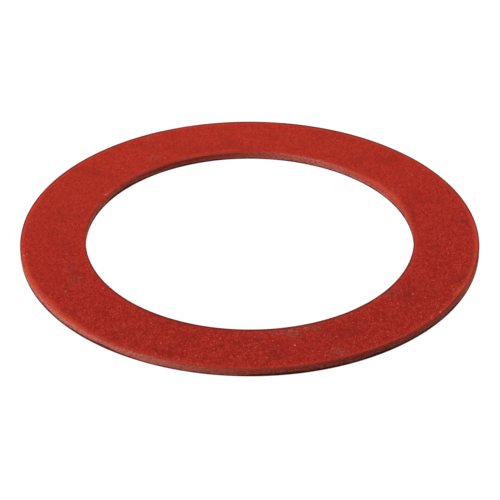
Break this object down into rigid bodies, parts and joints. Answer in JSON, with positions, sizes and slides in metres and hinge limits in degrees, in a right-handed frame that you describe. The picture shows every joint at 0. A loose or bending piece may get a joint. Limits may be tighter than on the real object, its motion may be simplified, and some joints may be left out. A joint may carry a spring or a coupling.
{
  "type": "flat fibre washer",
  "caption": "Flat ring punched from red vulcanised fibre sheet, with a plain bore and rolled upper edges, used as a sealing washer.",
  "frame": {"origin": "centre of the bore on the lower face", "axes": "+Z along the bore axis, out of the upper face, whose edges are rolled over; X and Y lie in the lower face"},
  "size_m": [0.084, 0.084, 0.0015],
  "materials": {
    "vulcanised_fibre": "matte"
  },
  "bodies": {
    "root": {"fibre_washer": "vulcanised_fibre"}
  },
  "joints": []
}
